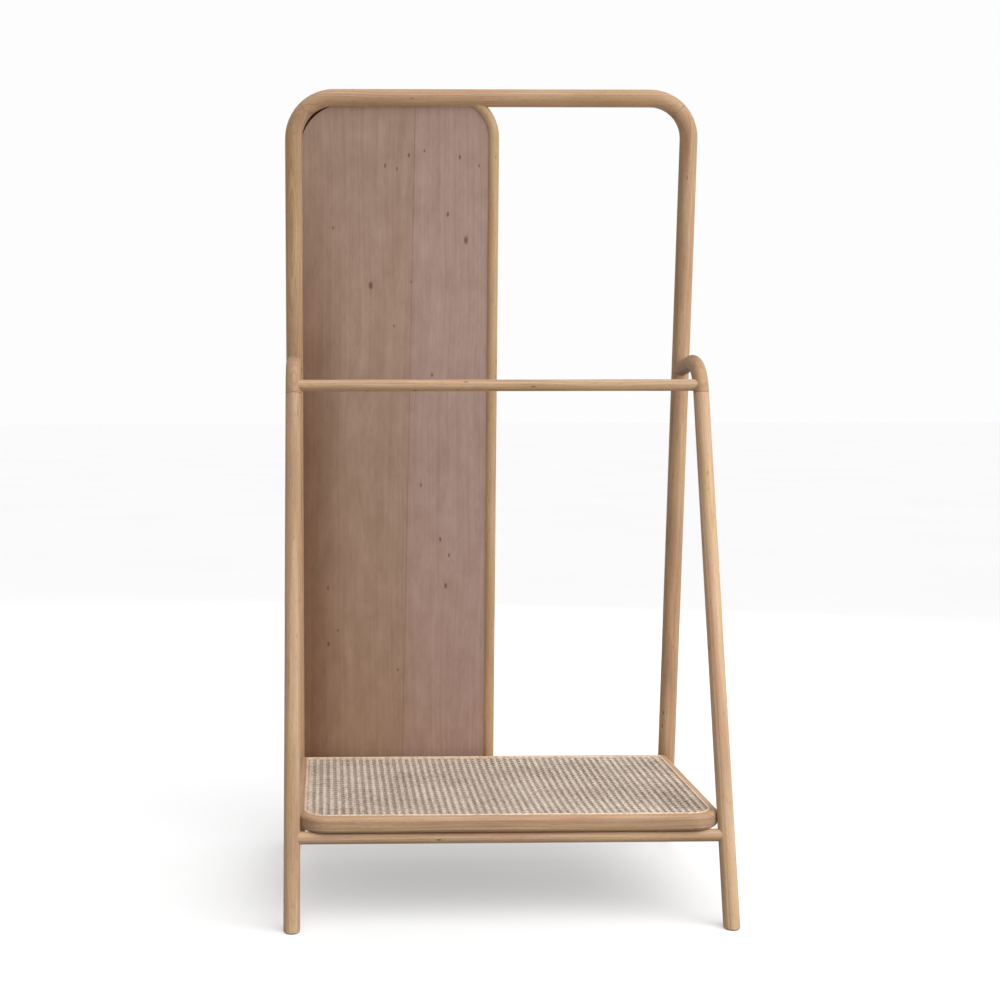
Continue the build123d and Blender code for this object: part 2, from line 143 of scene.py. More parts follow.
floor = mesh_piece(
    "studio_floor",
    [(-floor_half, -floor_half, 0), (floor_half, -floor_half, 0),
     (floor_half, floor_half, 0), (-floor_half, floor_half, 0)],
    [(0, 1, 2, 3)], floor_paint,
)

# the room is brightest overhead and in front, and dark low down
world = bpy.data.worlds.new("studio_air")
bpy.context.scene.world = world
world.use_nodes = True
tree = world.node_tree
tree.nodes.clear()
toward = add(tree, "ShaderNodeTexCoord")["Generated"]
toward = add(tree, "ShaderNodeVectorMath", {0: toward, 1: (0.14, -0.34, 0.93)},
             operation="DOT_PRODUCT")["Value"]
room = add(tree, "ShaderNodeMapRange", {
    "Value": toward, "From Min": -0.7, "From Max": 1.0, "To Min": 0.05, "To Max": 0.46})[0]
direct = white_share(tree)
strength = add(tree, "ShaderNodeMix", {0: direct, 2: room, 3: 0.985})[0]
air = add(tree, "ShaderNodeBackground", {"Color": linear("#ffffff"), "Strength": strength})[0]
add(tree, "ShaderNodeOutputWorld", {"Surface": air})


def lamp(name, kind, place, aim, watts, size):
    """A soft lamp at a place, turned to face a point. size is a box's side in metres, or
    for the sun its width in the sky in radians."""
    data = bpy.data.lights.new(name, kind)
    data.energy = watts
    if kind == "SUN":
        data.angle = size
    else:
        data.size = size
    light = bpy.data.objects.new(name, data)
    light.location = place
    light.rotation_euler = (Vector(aim) - Vector(place)).to_track_quat("-Z", "Y").to_euler()
    light.visible_camera = False
    bpy.context.scene.collection.objects.link(light)
    return light


lamp("top_window", "SUN", (1.1, -1.7, 3.6), (0.0, 0.0, 0.7), 2.3, math.radians(62.0))
lamp("right_soft_box", "AREA", (1.45, -0.95, 0.95), (0.38, 0.0, 0.75), 11.5, 1.1)
lamp("back_soft_box", "AREA", (0.7, 3.2, 1.9), (0.0, 0.2, 0.8), 40.0, 2.2).visible_glossy = False
lamp("left_soft_box", "AREA", (-1.45, -1.05, 0.95), (-0.38, 0.0, 0.7), 1.6, 1.1)


# ---- The hoop ----------------------------------------------------------------
# Two posts and a top rail of solid teak, turned round, bent over at the top corners and
# mitred at 45 degrees. Oiled, so the grain shows and the surface has a soft sheen.

hoop_lean = math.radians(9.04)
post_radius = 0.017


def oiled_teak(name, turn, pith, shades, end_shade, growth_mm=3.2, grain=(0, 0, 1)):
    """Sawn and turned teak, oiled: tan heartwood with faint streaks along the grain.
    turn brings the grain upright, pith is where the tree's centre lay, in metres, and
    the growth layers are bands of equal distance from it. Where the surface cuts
    across the fibres they soak up oil and go dull and greyish brown."""
    material, tree = new_material(name)
    coords = add(tree, "ShaderNodeTexCoord")["Object"]
    placed = add(tree, "ShaderNodeMapping", {
        "Vector": coords, "Rotation": turn, "Location": (pith[0], pith[1], pith[2])})[0]
    # the trunk's slow bends: 10 mm sideways over a quarter of a metre of length
    slow = add(tree, "ShaderNodeVectorMath", {0: placed, 1: (6.0, 6.0, 2.2)}, operation="MULTIPLY")[0]
    drift = add(tree, "ShaderNodeTexNoise", {"Vector": slow, "Scale": 1.0, "Detail": 1.0})["Color"]
    drift = add(tree, "ShaderNodeVectorMath", {0: drift, 1: (0.5, 0.5, 0.5)}, operation="SUBTRACT")[0]
    drift = add(tree, "ShaderNodeVectorMath", {0: drift, "Scale": 0.024}, operation="SCALE")[0]
    bent = add(tree, "ShaderNodeVectorMath", {0: placed, 1: drift}, operation="ADD")[0]
    flat = add(tree, "ShaderNodeVectorMath", {0: bent, 1: (1.0, 1.0, 0.0)}, operation="MULTIPLY")[0]
    distance = add(tree, "ShaderNodeVectorMath", {0: flat}, operation="LENGTH")["Value"]
    layers = add(tree, "ShaderNodeMath", {0: distance, 1: 1000.0 / growth_mm}, operation="MULTIPLY")[0]
    layer = add(tree, "ShaderNodeTexNoise",
                {"W": layers, "Scale": 1.0, "Detail": 3.0, "Roughness": 0.6},
                noise_dimensions="1D")["Fac"]
    # fibre bundles, drawn 1.5 mm wide and 120 mm long because the real 0.3 mm ones are too fine to show
    long = add(tree, "ShaderNodeVectorMath", {0: bent, 1: (640.0, 640.0, 8.0)}, operation="MULTIPLY")[0]
    fibre = add(tree, "ShaderNodeTexNoise", {"Vector": long, "Scale": 1.0, "Detail": 2.0})["Fac"]
    # slow change of tone along a bar, a hand's width to an arm's length
    blotch = add(tree, "ShaderNodeVectorMath", {0: placed, 1: (16.0, 16.0, 4.0)}, operation="MULTIPLY")[0]
    blotch = add(tree, "ShaderNodeTexNoise", {"Vector": blotch, "Scale": 1.0, "Detail": 2.0})["Fac"]
    mixed = add(tree, "ShaderNodeMath", {0: layer, 1: 0.40}, operation="MULTIPLY")[0]
    mixed = add(tree, "ShaderNodeMath", {0: fibre, 1: 0.26, 2: mixed}, operation="MULTIPLY_ADD")[0]
    mixed = add(tree, "ShaderNodeMath", {0: blotch, 1: 0.34, 2: mixed}, operation="MULTIPLY_ADD")[0]
    body = add(tree, "ShaderNodeValToRGB", {"Fac": mixed},
               stops=list(zip((0.36, 0.46, 0.54, 0.64), shades)))["Color"]
    # pink-brown and olive tints that drift independently of the light and dark
    tint = add(tree, "ShaderNodeVectorMath", {0: placed, 1: (60.0, 60.0, 3.0)}, operation="MULTIPLY")[0]
    tint = add(tree, "ShaderNodeTexNoise", {"Vector": tint, "Scale": 1.0, "Detail": 2.0})["Fac"]
    tint = add(tree, "ShaderNodeValToRGB", {"Fac": tint},
               stops=[(0.36, "#fff3c8"), (0.5, "#ffffff"), (0.64, "#ffdccc")])["Color"]
    body = add(tree, "ShaderNodeMix", {0: 0.42, 6: body, 7: tint},
               data_type="RGBA", blend_type="MULTIPLY")[2]
    # open pores, short dark lines 12 mm long, drawn 0.7 mm wide to show
    pores = add(tree, "ShaderNodeVectorMath", {0: bent, 1: (1500.0, 1500.0, 80.0)}, operation="MULTIPLY")[0]
    pores = add(tree, "ShaderNodeTexNoise", {"Vector": pores, "Scale": 1.0, "Detail": 0.0})["Fac"]
    pores = add(tree, "ShaderNodeMapRange",
                {"Value": pores, "From Min": 0.66, "From Max": 0.78, "To Max": 0.4})[0]
    body = add(tree, "ShaderNodeMix", {0: pores, 6: body, 7: linear("#6b4a33")},
               data_type="RGBA")[2]
    # a pin knot every hand's width or so, 2 mm wide and 5 mm long
    knots = add(tree, "ShaderNodeVectorMath", {0: placed, 1: (40.0, 40.0, 13.0)}, operation="MULTIPLY")[0]
    knots = add(tree, "ShaderNodeTexVoronoi", {"Vector": knots, "Scale": 1.0})["Distance"]
    knots = add(tree, "ShaderNodeMapRange",
                {"Value": knots, "From Min": 0.02, "From Max": 0.09, "To Min": 0.75, "To Max": 0.0},
                interpolation_type="SMOOTHSTEP")[0]
    body = add(tree, "ShaderNodeMix", {0: knots, 6: body, 7: linear("#5b3d2a")},
               data_type="RGBA")[2]
    normal = add(tree, "ShaderNodeNewGeometry")["Normal"]
    across = add(tree, "ShaderNodeVectorMath", {0: normal, 1: grain}, operation="DOT_PRODUCT")["Value"]
    across = add(tree, "ShaderNodeMath", {0: across}, operation="ABSOLUTE")[0]
    across = add(tree, "ShaderNodeMapRange",
                 {"Value": across, "From Min": 0.35, "From Max": 0.95, "To Max": 0.9},
                 interpolation_type="SMOOTHSTEP")[0]
    speckle = add(tree, "ShaderNodeMapRange", {"Value": layer, "To Min": 0.75, "To Max": 1.25})[0]
    speckled = add(tree, "ShaderNodeVectorMath", {0: linear(end_shade)[:3], "Scale": speckle},
                   operation="SCALE")[0]
    colour = add(tree, "ShaderNodeMix", {0: across, 6: body, 7: speckled}, data_type="RGBA")[2]
    rough = add(tree, "ShaderNodeMapRange", {"Value": fibre, "To Min": 0.62, "To Max": 0.46})[0]
    height = add(tree, "ShaderNodeMath", {0: fibre, 1: pores}, operation="SUBTRACT")[0]
    bump = add(tree, "ShaderNodeBump", {"Height": height, "Strength": 0.2, "Distance": 0.0004})[0]
    surface = add(tree, "ShaderNodeBsdfPrincipled", {
        "Base Color": colour, "Roughness": rough, "Normal": bump, "Specular IOR Level": 0.3})
    add(tree, "ShaderNodeOutputMaterial", {"Surface": surface[0]})
    return material


def finish_node(name, material):
    """Gives a CAD node its finish."""
    slots = cad[name].data.materials
    slots.clear()
    slots.append(material)


teak_end = "#8f6f56"
hoop_shades = ("#a9876a", "#b79577", "#c2a180", "#d0b08f")
stile_shades = ("#b0906c", "#bfa07b", "#caac87", "#d6bb97")
upright = (0.0, -math.sin(hoop_lean), math.cos(hoop_lean))
lay_flat = math.radians(-90.0)
for node_name, pith in (("tall_post_left", (0.47, 0.05, 0.3)), ("tall_post_right", (-0.31, -0.06, 1.7))):
    finish_node(node_name, oiled_teak(
        f"oiled_teak_{node_name}", (-hoop_lean, 0.0, 0.0), pith, hoop_shades, "#917564", grain=upright))
finish_node("top_rail", oiled_teak(
    "oiled_teak_top_rail", (0.0, lay_flat, 0.0), (1.56, -0.02, 0.2), hoop_shades, teak_end,
    grain=(1, 0, 0)))
finish_node("bottom_rail", oiled_teak(
    "oiled_teak_bottom_rail", (0.0, lay_flat, 0.0), (0.18, -0.2, 3.2), hoop_shades, teak_end,
    grain=(1, 0, 0)))
finish_node("mirror_stile", oiled_teak(
    "oiled_teak_mirror_stile", (-hoop_lean, 0.0, 0.0), (0.05, 0.07, 5.2), stile_shades, teak_end,
    grain=upright))
finish_node("shelf_ledger", oiled_teak(
    "oiled_teak_shelf_ledger", (0.0, lay_flat, 0.0), (0.22, -0.13, 6.2), hoop_shades, teak_end,
    grain=(1, 0, 0)))


# ---- The mirror --------------------------------------------------------------
# A plate of silvered glass faces the far side, and a plywood board with a sliced veneer
# face closes its back. Both sit in one groove round the frame.

hoop_foot_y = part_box("tall_post_left")[1][1] - post_radius / math.cos(hoop_lean)
board_turn = Euler((-hoop_lean, 0.0, 0.0))
board_shift = -(board_turn.to_matrix() @ Vector((0.0, hoop_foot_y, 0.0)))

veneer, tree = new_material("sliced_veneer_plywood")
coords = add(tree, "ShaderNodeTexCoord")["Object"]
board = add(tree, "ShaderNodeMapping",
            {"Vector": coords, "Rotation": tuple(board_turn), "Location": tuple(board_shift)})[0]
split = add(tree, "ShaderNodeSeparateXYZ", {"Vector": board})
# two leaves meet at a seam that leans to the right by 12.5 mm for each metre up
seam_slope, seam_start_x = 0.0125, -0.168
seam_x = add(tree, "ShaderNodeMath", {0: split["Z"], 1: seam_slope, 2: seam_start_x},
             operation="MULTIPLY_ADD")[0]
right_of_seam = add(tree, "ShaderNodeMath", {0: split["X"], 1: seam_x}, operation="SUBTRACT")[0]
leaf = add(tree, "ShaderNodeMath", {0: right_of_seam, 1: 0.0}, operation="GREATER_THAN")[0]
leaf_tone = add(tree, "ShaderNodeMapRange",
                {"Value": right_of_seam, "From Min": -0.012, "From Max": 0.016},
                interpolation_type="SMOOTHSTEP")[0]
# the stripes wander 6 mm over half a metre, and part like flames round the left leaf's figure
slow = add(tree, "ShaderNodeVectorMath", {0: board, 1: (5.0, 0.0, 2.4)}, operation="MULTIPLY")[0]
slow = add(tree, "ShaderNodeVectorMath", {0: slow, 1: (0.0, 1.0, 0.0), 2: slow}, operation="MULTIPLY_ADD")[0]
wander = add(tree, "ShaderNodeTexNoise", {"Vector": slow, "Scale": 1.0, "Detail": 1.0})["Fac"]
wander = add(tree, "ShaderNodeMath", {0: wander, 1: 0.030, 2: split["X"]}, operation="MULTIPLY_ADD")[0]
figure_centre = (-0.258, 0.0, 0.835)
from_figure = add(tree, "ShaderNodeVectorMath", {0: board, 1: figure_centre}, operation="SUBTRACT")[0]
from_figure = add(tree, "ShaderNodeVectorMath",
                  {0: from_figure, 1: (24.0, 0.0, 6.5)}, operation="MULTIPLY")[0]
flame = add(tree, "ShaderNodeVectorMath", {0: from_figure}, operation="LENGTH")["Value"]
flame = add(tree, "ShaderNodeMapRange", {"Value": flame, "From Max": 1.3, "To Min": 0.022, "To Max": 0.0},
            interpolation_type="SMOOTHSTEP")[0]
wander = add(tree, "ShaderNodeMath", {0: wander, 1: flame}, operation="ADD")[0]
leaf_start = add(tree, "ShaderNodeMath", {0: leaf, 1: 3.7, 2: wander}, operation="MULTIPLY_ADD")[0]
# stripes 2 to 12 mm wide that run most of the board's height
stripe_at = add(tree, "ShaderNodeCombineXYZ", {"X": leaf_start, "Z": split["Z"]})[0]
stripe_at = add(tree, "ShaderNodeVectorMath", {0: stripe_at, 1: (190.0, 1.0, 1.6)}, operation="MULTIPLY")[0]
stripe = add(tree, "ShaderNodeTexNoise",
             {"Vector": stripe_at, "Scale": 1.0, "Detail": 3.0, "Roughness": 0.62})["Fac"]
# pores, 0.5 mm wide and 20 mm long
pore_at = add(tree, "ShaderNodeCombineXYZ", {"X": leaf_start, "Z": split["Z"]})[0]
pore_at = add(tree, "ShaderNodeVectorMath", {0: pore_at, 1: (1300.0, 1.0, 45.0)}, operation="MULTIPLY")[0]
pore = add(tree, "ShaderNodeTexNoise", {"Vector": pore_at, "Scale": 1.0, "Detail": 1.0})["Fac"]
cloud = add(tree, "ShaderNodeVectorMath", {0: board, 1: (34.0, 0.0, 14.0)}, operation="MULTIPLY")[0]
cloud = add(tree, "ShaderNodeTexNoise",
            {"Vector": cloud, "Scale": 1.0, "Detail": 5.0, "Roughness": 0.65})["Fac"]
tone = add(tree, "ShaderNodeMath", {0: stripe, 1: 0.34}, operation="MULTIPLY")[0]
tone = add(tree, "ShaderNodeMath", {0: pore, 1: 0.22, 2: tone}, operation="MULTIPLY_ADD")[0]
tone = add(tree, "ShaderNodeMath", {0: cloud, 1: 0.44, 2: tone}, operation="MULTIPLY_ADD")[0]
brown = add(tree, "ShaderNodeValToRGB", {"Fac": tone},
            stops=[(0.32, "#997d6b"), (0.5, "#ab8f7e"), (0.68, "#bb9f8e")])["Color"]
mauve = add(tree, "ShaderNodeValToRGB", {"Fac": tone},
            stops=[(0.32, "#a08377"), (0.5, "#b09489"), (0.68, "#bfa49a")])["Color"]
veneer_colour = add(tree, "ShaderNodeMix", {0: leaf_tone, 6: brown, 7: mauve}, data_type="RGBA")[2]
# warmer towards the lower left
warm = add(tree, "ShaderNodeMath", {0: split["X"], 1: 2.2, 2: split["Z"]}, operation="MULTIPLY_ADD")[0]
warm = add(tree, "ShaderNodeMapRange",
           {"Value": warm, "From Min": -0.55, "From Max": 0.75, "To Min": 0.6, "To Max": 0.0},
           interpolation_type="SMOOTHSTEP")[0]
veneer_colour = add(tree, "ShaderNodeMix", {0: warm, 6: veneer_colour, 7: linear("#ece0c6")},
                    data_type="RGBA", blend_type="MULTIPLY")[2]
# a painted shadow of the left post on the board: browner and darker beside the post, fading out higher up
post_shadow = add(tree, "ShaderNodeMapRange",
           {"Value": split["X"], "From Min": -0.362, "From Max": -0.265, "To Min": 0.8, "To Max": 0.0},
           interpolation_type="SMOOTHSTEP")[0]
low = add(tree, "ShaderNodeMapRange",
          {"Value": split["Z"], "From Min": 0.9, "From Max": 1.45, "To Min": 1.0, "To Max": 0.15})[0]
post_shadow = add(tree, "ShaderNodeMath", {0: post_shadow, 1: low}, operation="MULTIPLY")[0]
veneer_colour = add(tree, "ShaderNodeMix", {0: post_shadow, 6: veneer_colour, 7: linear("#bca693")},
                    data_type="RGBA", blend_type="MULTIPLY")[2]
# pin knots, dark and a few millimetres across: X, height up the board and half width
pin_knots = (
    (-0.207, 1.397, 2.0), (-0.184, 1.391, 1.7), (-0.161, 1.417, 2.2), (-0.131, 1.425, 1.6),
    (-0.062, 1.413, 2.2), (-0.024, 1.397, 1.7), (-0.084, 1.303, 2.5), (-0.048, 1.253, 3.9),
    (-0.308, 1.277, 1.7), (-0.234, 1.164, 3.9), (-0.155, 1.171, 1.4), (-0.188, 1.084, 1.7),
    (-0.112, 0.986, 2.2), (-0.132, 0.763, 2.0), (-0.092, 0.651, 2.5), (-0.074, 0.618, 2.0),
    (-0.080, 0.554, 3.0), (-0.319, 0.550, 2.2), (-0.299, 0.461, 1.7), (-0.318, 0.432, 2.5),
    (-0.176, 0.377, 1.7),
)
ragged = add(tree, "ShaderNodeTexNoise", {"Vector": board, "Scale": 420.0, "Detail": 1.0})["Color"]
ragged = add(tree, "ShaderNodeVectorMath", {0: ragged, 1: (0.5, 0.5, 0.5)}, operation="SUBTRACT")[0]
ragged = add(tree, "ShaderNodeVectorMath", {0: ragged, "Scale": 0.004}, operation="SCALE")[0]
ragged = add(tree, "ShaderNodeVectorMath", {0: board, 1: ragged}, operation="ADD")[0]
nearest = None
for knot_x, knot_z, knot_mm in pin_knots:
    offset = add(tree, "ShaderNodeVectorMath", {0: ragged, 1: (knot_x, 0.0, knot_z)}, operation="SUBTRACT")[0]
    reach = 1000.0 / knot_mm
    offset = add(tree, "ShaderNodeVectorMath", {0: offset, 1: (reach, 0.0, reach * 0.5)},
                 operation="MULTIPLY")[0]
    away = add(tree, "ShaderNodeVectorMath", {0: offset}, operation="LENGTH")["Value"]
    nearest = away if nearest is None else add(
        tree, "ShaderNodeMath", {0: nearest, 1: away}, operation="MINIMUM")[0]
knot = add(tree, "ShaderNodeMapRange",
           {"Value": nearest, "From Min": 0.35, "From Max": 1.5, "To Min": 0.75, "To Max": 0.0},
           interpolation_type="SMOOTHSTEP")[0]
veneer_colour = add(tree, "ShaderNodeMix", {0: knot, 6: veneer_colour, 7: linear("#5f3c2c")},
                    data_type="RGBA")[2]
# the glue line between the leaves
seam = add(tree, "ShaderNodeMath", {0: right_of_seam}, operation="ABSOLUTE")[0]
seam = add(tree, "ShaderNodeMapRange",
           {"Value": seam, "From Min": 0.0004, "From Max": 0.0016, "To Min": 0.35, "To Max": 0.0})[0]
veneer_colour = add(tree, "ShaderNodeMix", {0: seam, 6: veneer_colour, 7: linear("#6b4a3a")},
                    data_type="RGBA")[2]
bump = add(tree, "ShaderNodeBump", {"Height": pore, "Strength": 0.25, "Distance": 0.0003})[0]
rough = add(tree, "ShaderNodeMapRange", {"Value": pore, "To Min": 0.7, "To Max": 0.55})[0]
surface = add(tree, "ShaderNodeBsdfPrincipled",
              {"Base Color": veneer_colour, "Roughness": rough, "Normal": bump,
               "Specular IOR Level": 0.25})
add(tree, "ShaderNodeOutputMaterial", {"Surface": surface[0]})
finish_node("mirror_back_board", veneer)

silvered, tree = new_material("silvered_float_glass")
coords = add(tree, "ShaderNodeTexCoord")["Object"]
haze = add(tree, "ShaderNodeTexNoise", {"Vector": coords, "Scale": 9.0, "Detail": 2.0})["Fac"]
haze = add(tree, "ShaderNodeMapRange", {"Value": haze, "To Min": 0.01, "To Max": 0.04})[0]
silver = add(tree, "ShaderNodeBsdfPrincipled",
             {"Base Color": linear("#eef1f0"), "Metallic": 1.0, "Roughness": haze})[0]
# the silver's back is brushed with lacquer, a dark umber that is also painted shade where it shows in the
# gaps round the board's top corners
strokes = add(tree, "ShaderNodeVectorMath", {0: coords, 1: (300.0, 300.0, 20.0)}, operation="MULTIPLY")[0]
strokes = add(tree, "ShaderNodeTexNoise", {"Vector": strokes, "Scale": 1.0, "Detail": 2.0})["Fac"]
lacquer_and_shade = add(tree, "ShaderNodeValToRGB", {"Fac": strokes},
              stops=[(0.35, "#3d2c21"), (0.65, "#574231")])["Color"]
painted = add(tree, "ShaderNodeBsdfPrincipled",
              {"Base Color": lacquer_and_shade, "Roughness": 0.7, "Specular IOR Level": 0.2})[0]
normal = add(tree, "ShaderNodeNewGeometry")["Normal"]
facing = add(tree, "ShaderNodeVectorMath", {0: normal, 1: (0.0, -1.0, 0.0)}, operation="DOT_PRODUCT")["Value"]
facing = add(tree, "ShaderNodeMath", {0: facing, 1: 0.5}, operation="GREATER_THAN")[0]
surface = add(tree, "ShaderNodeMixShader", {0: facing, 1: silver, 2: painted})[0]
add(tree, "ShaderNodeOutputMaterial", {"Surface": surface})
finish_node("mirror_glass", silvered)


# ---- The leg frame -----------------------------------------------------------
# Two teak legs, each with a bent elbow of teak butted on top and run into the post, a
# hanging rod between the elbows and a plain rail near the floor.

leg_lean = math.radians(12.4)
leg_shades = ("#b4937a", "#c2a283", "#cdae8f", "#dabd9f")
leg_grain = (0.0, math.sin(leg_lean), math.cos(leg_lean))
# a darker copy of the legs' teak, painted shade for the left leg on the side away from the light
shaded_leg_shades = ("#a98a70", "#b8997c", "#c3a486", "#cfb394")
for node_name, pith, shades in (
    ("leg_left", (0.46, -0.05, 0.1), shaded_leg_shades),
    ("leg_right", (-0.32, 0.04, 2.2), leg_shades),
):
    finish_node(node_name, oiled_teak(
        f"oiled_teak_{node_name}", (leg_lean, 0.0, 0.0), pith, shades, teak_end, grain=leg_grain))
elbow_tilt = math.radians(30.0)
elbow_shades = ("#98785c", "#a8876b", "#b59677", "#c3a585")
elbow_grain = (0.0, math.sin(elbow_tilt), math.cos(elbow_tilt))
for node_name, pith in (("elbow_left", (0.45, 0.06, 0.4)), ("elbow_right", (-0.33, 0.05, 2.9))):
    finish_node(node_name, oiled_teak(
        f"oiled_teak_{node_name}", (elbow_tilt, 0.0, 0.0), pith, elbow_shades, "#766159",
        grain=elbow_grain))
# the rod and the lower rail take the same darker copy, painted shade as on the left leg
for node_name, pith in (("hanging_rod", (-0.93, 0.07, 0.5)), ("lower_rail", (-0.10, 0.27, 4.1))):
    finish_node(node_name, oiled_teak(
        f"oiled_teak_{node_name}", (0.0, lay_flat, 0.0), pith, shaded_leg_shades, teak_end, grain=(1, 0, 0)))


# ---- The tray ----------------------------------------------------------------
# Four teak rails mitred at the corners and rounded over, with a groove round the top for
# the cane and its reed, and one inside for the plywood board under it.

tray_shades = ("#9f7f64", "#af8f73", "#bb9c7e", "#c8ac8e")
for node_name, turn, pith, along in (
    ("tray_front_rail", (0.0, lay_flat, 0.0), (-0.14, 0.29, 0.7), (1, 0, 0)),
    ("tray_back_rail", (0.0, lay_flat, 0.0), (-0.13, -0.16, 1.9), (1, 0, 0)),
    ("tray_left_rail", (math.radians(90.0), 0.0, 0.0), (0.41, 0.14, 0.2), (0, 1, 0)),
    ("tray_right_rail", (math.radians(90.0), 0.0, 0.0), (-0.32, 0.13, 0.9), (0, 1, 0)),
):
    finish_node(node_name, oiled_teak(
        f"oiled_teak_{node_name}", turn, pith, tray_shades, "#8f7a69", grain=along))


tray_ply, tree = new_material("rotary_cut_plywood")
coords = add(tree, "ShaderNodeTexCoord")["Object"]
peel = add(tree, "ShaderNodeVectorMath", {0: coords, 1: (6.0, 90.0, 1.0)}, operation="MULTIPLY")[0]
peel = add(tree, "ShaderNodeTexNoise", {"Vector": peel, "Scale": 1.0, "Detail": 4.0})["Fac"]
# the plywood is coloured dark, painted shade for what shows through the cane's holes above it
peel_and_shade_colour = add(tree, "ShaderNodeValToRGB", {"Fac": peel},
                  stops=[(0.34, "#7a5e4b"), (0.66, "#967861")])["Color"]
bump = add(tree, "ShaderNodeBump", {"Height": peel, "Strength": 0.2, "Distance": 0.0005})[0]
surface = add(tree, "ShaderNodeBsdfPrincipled",
              {"Base Color": peel_and_shade_colour, "Roughness": 0.75, "Normal": bump, "Specular IOR Level": 0.2})
add(tree, "ShaderNodeOutputMaterial", {"Surface": surface[0]})
finish_node("tray_board", tray_ply)


# ---- The cane ----------------------------------------------------------------
# Cane webbing with a 13.3 mm mesh: pairs of split cane both ways and a diagonal each way,
# pressed wet into the groove and dried tight, so it dips a little in the middle.

cane_low, cane_high = (np.array(corner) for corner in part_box("cane_sheet"))
cane_width, cane_depth = (cane_high - cane_low)[:2]
mesh_across, mesh_back = 54, 31
step_x, step_y = cane_width / mesh_across, cane_depth / mesh_back
front_corner = 0.038
cane_level = cane_high[2] - 0.0012
cane_dip = 0.0048
half_weave = 0.0006
strand_thickness = 0.0009


def cane_surface(x, y):
    """Height of the stretched cane: level at the edges and dipping as a product of two
    parabolas, with one slow wave across it."""
    u = 2 * (x - cane_low[0]) / cane_width - 1
    v = 2 * (y - cane_low[1]) / cane_depth - 1
    bowl = (1 - u ** 2) * (1 - v ** 2)
    return cane_level - cane_dip * bowl * (1 + 0.35 * np.sin(5.0 * u + 2.0 * v))


def inside_cane(x, y):
    """True where a point lies within the reed: a rectangle with two rounded front corners."""
    over = np.maximum(np.abs(x - (cane_low[0] + cane_high[0]) / 2) - (cane_width / 2 - front_corner), 0)
    fore = np.maximum(cane_low[1] + front_corner - y, 0)
    within = (np.abs(x - (cane_low[0] + cane_high[0]) / 2) <= cane_width / 2)
    within &= (y >= cane_low[1]) & (y <= cane_high[1])
    return within & (np.hypot(over, fore) <= front_corner)


def woven_strands(name, x, y, lift, width, material):
    """Many strands at once. x, y and lift are arrays of strand by sample. Each strand is a
    flat lens in section: two edges half the width out, a crown and a keel half the
    thickness up and down. A sample outside the reed shrinks to a point, which ends the strand."""
    z = cane_surface(x, y) + lift
    run = np.stack([np.gradient(x, axis=1), np.gradient(y, axis=1)], -1)
    run /= np.linalg.norm(run, axis=-1, keepdims=True)
    aside = np.stack([-run[..., 1], run[..., 0], np.zeros_like(x)], -1) * width / 2
    up = np.zeros_like(aside)
    up[..., 2] = strand_thickness / 2
    live = inside_cane(x, y)
    centre = np.stack([x, y, z], -1)
    ring = np.stack([aside, up, -aside, -up], 2) * live[..., None, None]
    points = centre[:, :, None, :] + ring
    strands, samples = x.shape
    index = np.arange(strands * samples * 4).reshape(strands, samples, 4)
    here, ahead = index[:, :-1], index[:, 1:]
    turned_here, turned_ahead = np.roll(here, -1, 2), np.roll(ahead, -1, 2)
    faces = np.stack([here, turned_here, turned_ahead, ahead], -1)
    keep = live[:, :-1] | live[:, 1:]
    faces = faces[keep].reshape(-1, 4)
    used, faces = np.unique(faces, return_inverse=True)
    piece = mesh_piece(name, points.reshape(-1, 3)[used], faces.reshape(-1, 4), material)
    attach(piece, "root")
    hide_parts("cane_sheet")
    return piece


def split_cane(name, pale, deep):
    """Split cane: the glossy outer skin of rattan, straw coloured, with darker joints and streaks
    a millimetre or two wide."""
    material, tree = new_material(name)
    coords = add(tree, "ShaderNodeTexCoord")["Object"]
    streaks = add(tree, "ShaderNodeTexNoise", {"Vector": coords, "Scale": 160.0, "Detail": 2.0})["Fac"]
    lengths = add(tree, "ShaderNodeTexNoise", {"Vector": coords, "Scale": 14.0, "Detail": 2.0})["Fac"]
    mixed = add(tree, "ShaderNodeMath", {0: lengths, 1: 0.3}, operation="MULTIPLY")[0]
    mixed = add(tree, "ShaderNodeMath", {0: streaks, 1: 0.7, 2: mixed}, operation="MULTIPLY_ADD")[0]
    colour = add(tree, "ShaderNodeValToRGB", {"Fac": mixed},
                 stops=[(0.36, deep), (0.5, pale), (0.66, "#efe0cf")])["Color"]
    surface = add(tree, "ShaderNodeBsdfPrincipled",
                  {"Base Color": colour, "Roughness": 0.42, "Specular IOR Level": 0.45})
    add(tree, "ShaderNodeOutputMaterial", {"Surface": surface[0]})
    return material


cane_skin = split_cane("split_cane_skin", "#dccdbe", "#bca896")
samples_per_mesh = 4
pair_gap = 0.0013
strand_width = 0.0021
diagonal_width = 0.0024

# along X: both strands of each pair, crossing over and under the pairs that run back
rows = np.repeat(cane_low[1] + (np.arange(mesh_back) + 0.5) * step_y, 2)
rows = rows + np.tile([-pair_gap, pair_gap], mesh_back)
columns_fine = cane_low[0] + np.arange(mesh_across * samples_per_mesh + 1) * step_x / samples_per_mesh
x, y = np.broadcast_arrays(columns_fine[None, :], rows[:, None])
sign = np.tile([1.0, -1.0], mesh_back)[:, None]
lift = sign * half_weave * np.sin(2 * np.pi * (x - cane_low[0]) / step_x)
woven_strands("cane_across", x, y, lift, strand_width, cane_skin)

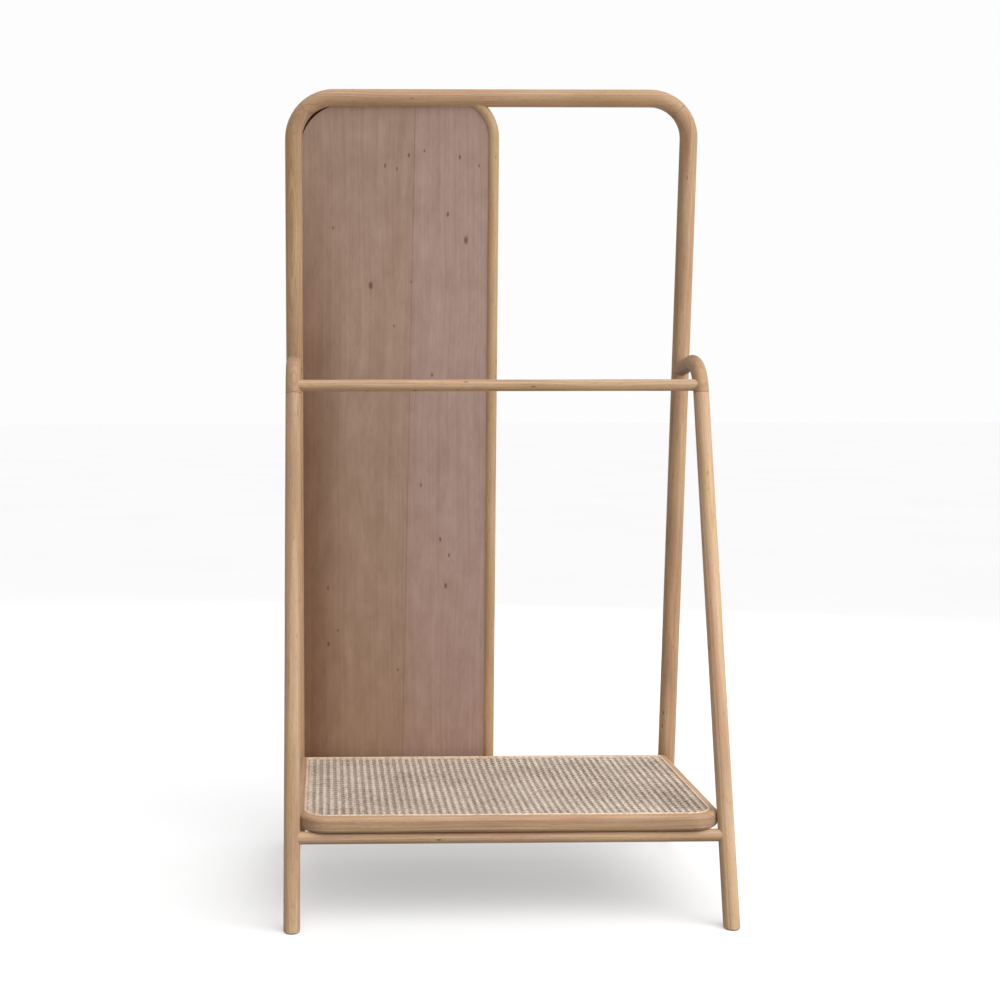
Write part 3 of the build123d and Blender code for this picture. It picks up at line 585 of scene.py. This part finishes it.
# along Y: the same, half a step out of phase
columns = np.repeat(cane_low[0] + (np.arange(mesh_across) + 0.5) * step_x, 2)
columns = columns + np.tile([-pair_gap, pair_gap], mesh_across)
rows_fine = cane_low[1] + np.arange(mesh_back * samples_per_mesh + 1) * step_y / samples_per_mesh
x, y = np.broadcast_arrays(columns[:, None], rows_fine[None, :])
sign = np.tile([-1.0, 1.0], mesh_across)[:, None]
lift = sign * half_weave * np.sin(2 * np.pi * (y - cane_low[1]) / step_y)
woven_strands("cane_back", x, y, lift, strand_width, cane_skin)

# the two diagonals, over one way's pairs and under the other's, half a mesh aside so that the
# eight-sided holes stay open
lines = np.arange(-mesh_back - 1, mesh_across + 1)
progress = np.arange(-2, 4 * mesh_back + 3) / 4
for slope, diagonal_name in ((1.0, "cane_diagonal_right"), (-1.0, "cane_diagonal_left")):
    cells_y = np.broadcast_to(progress[None, :], (len(lines), len(progress)))
    offset = lines[:, None] if slope > 0 else lines[:, None] + mesh_back
    cells_x = offset + 0.5 + slope * cells_y
    x = cane_low[0] + cells_x * step_x
    y = cane_low[1] + cells_y * step_y
    lift = slope * 2 * half_weave * np.cos(2 * np.pi * cells_y)
    woven_strands(diagonal_name, x, y, lift, diagonal_width, cane_skin)

reed = split_cane("round_reed_spline", "#e0c8ab", "#c5a582")
finish_node("cane_spline_front", reed)
finish_node("cane_spline_back", reed)


# ---- Fastenings --------------------------------------------------------------
# Zinc-plated bolts and screws, sunk in their holes, turned brass sleeves, beech pegs in the
# joints, and teak plugs over the two ledger screws.

zinc, tree = new_material("zinc_plated_steel")
coords = add(tree, "ShaderNodeTexCoord")["Object"]
spangle = add(tree, "ShaderNodeTexNoise", {"Vector": coords, "Scale": 900.0, "Detail": 2.0})["Fac"]
spangle = add(tree, "ShaderNodeMapRange", {"Value": spangle, "To Min": 0.25, "To Max": 0.45})[0]
surface = add(tree, "ShaderNodeBsdfPrincipled",
              {"Base Color": linear("#b9bbbd"), "Metallic": 1.0, "Roughness": spangle})
add(tree, "ShaderNodeOutputMaterial", {"Surface": surface[0]})
for node_name in ("elbow_bolts", "ledger_screws", "tray_screws"):
    finish_node(node_name, zinc)

brass, tree = new_material("turned_brass")
coords = add(tree, "ShaderNodeTexCoord")["Object"]
turning = add(tree, "ShaderNodeTexNoise", {"Vector": coords, "Scale": 700.0, "Detail": 1.0})["Fac"]
turning = add(tree, "ShaderNodeMapRange", {"Value": turning, "To Min": 0.2, "To Max": 0.4})[0]
surface = add(tree, "ShaderNodeBsdfPrincipled",
              {"Base Color": linear("#d6b26a"), "Metallic": 1.0, "Roughness": turning})
add(tree, "ShaderNodeOutputMaterial", {"Surface": surface[0]})
finish_node("elbow_inserts", brass)

peg_shades = ("#b8966f", "#c9aa83", "#d6ba95", "#e2caa8")
beech = oiled_teak("planed_beech", (0.0, 0.0, 0.0), (0.1, 0.1, 0.0), peg_shades, "#a98a68")
for node_name in ("corner_dowels", "stile_dowels", "elbow_dowels", "tray_dowels"):
    finish_node(node_name, beech)
finish_node("screw_plugs", oiled_teak(
    "oiled_teak_plugs", (0.0, 0.0, 0.0), (0.1, 0.1, 0.0), hoop_shades, teak_end))
